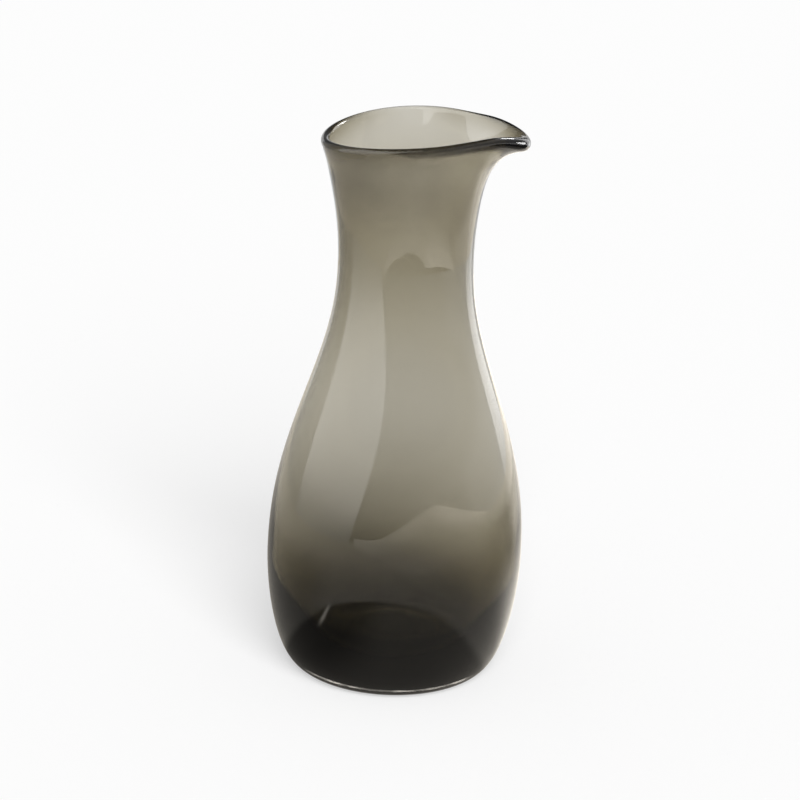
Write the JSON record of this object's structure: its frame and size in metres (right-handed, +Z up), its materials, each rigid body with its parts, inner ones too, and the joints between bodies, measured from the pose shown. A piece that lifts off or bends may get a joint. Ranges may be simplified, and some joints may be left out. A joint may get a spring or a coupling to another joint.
{
  "type": "water carafe",
  "caption": "Mouth-blown smoke-grey glass carafe with a heavy foot, round belly, drawn-in neck and a flared rim pulled into a pouring spout.",
  "frame": {"origin": "on the table plane under the middle of the belly, on the carafe's upright axis", "axes": "+Z up along the axis, +X towards the spout; the carafe is alike on both sides of the XZ plane"},
  "size_m": [0.115, 0.1148, 0.25],
  "materials": {
    "smoke_glass": "clear smoke-grey blown glass, fire-polished, darker where it is thicker"
  },
  "bodies": {
    "root": {"carafe_glass": "smoke_glass"}
  },
  "joints": []
}
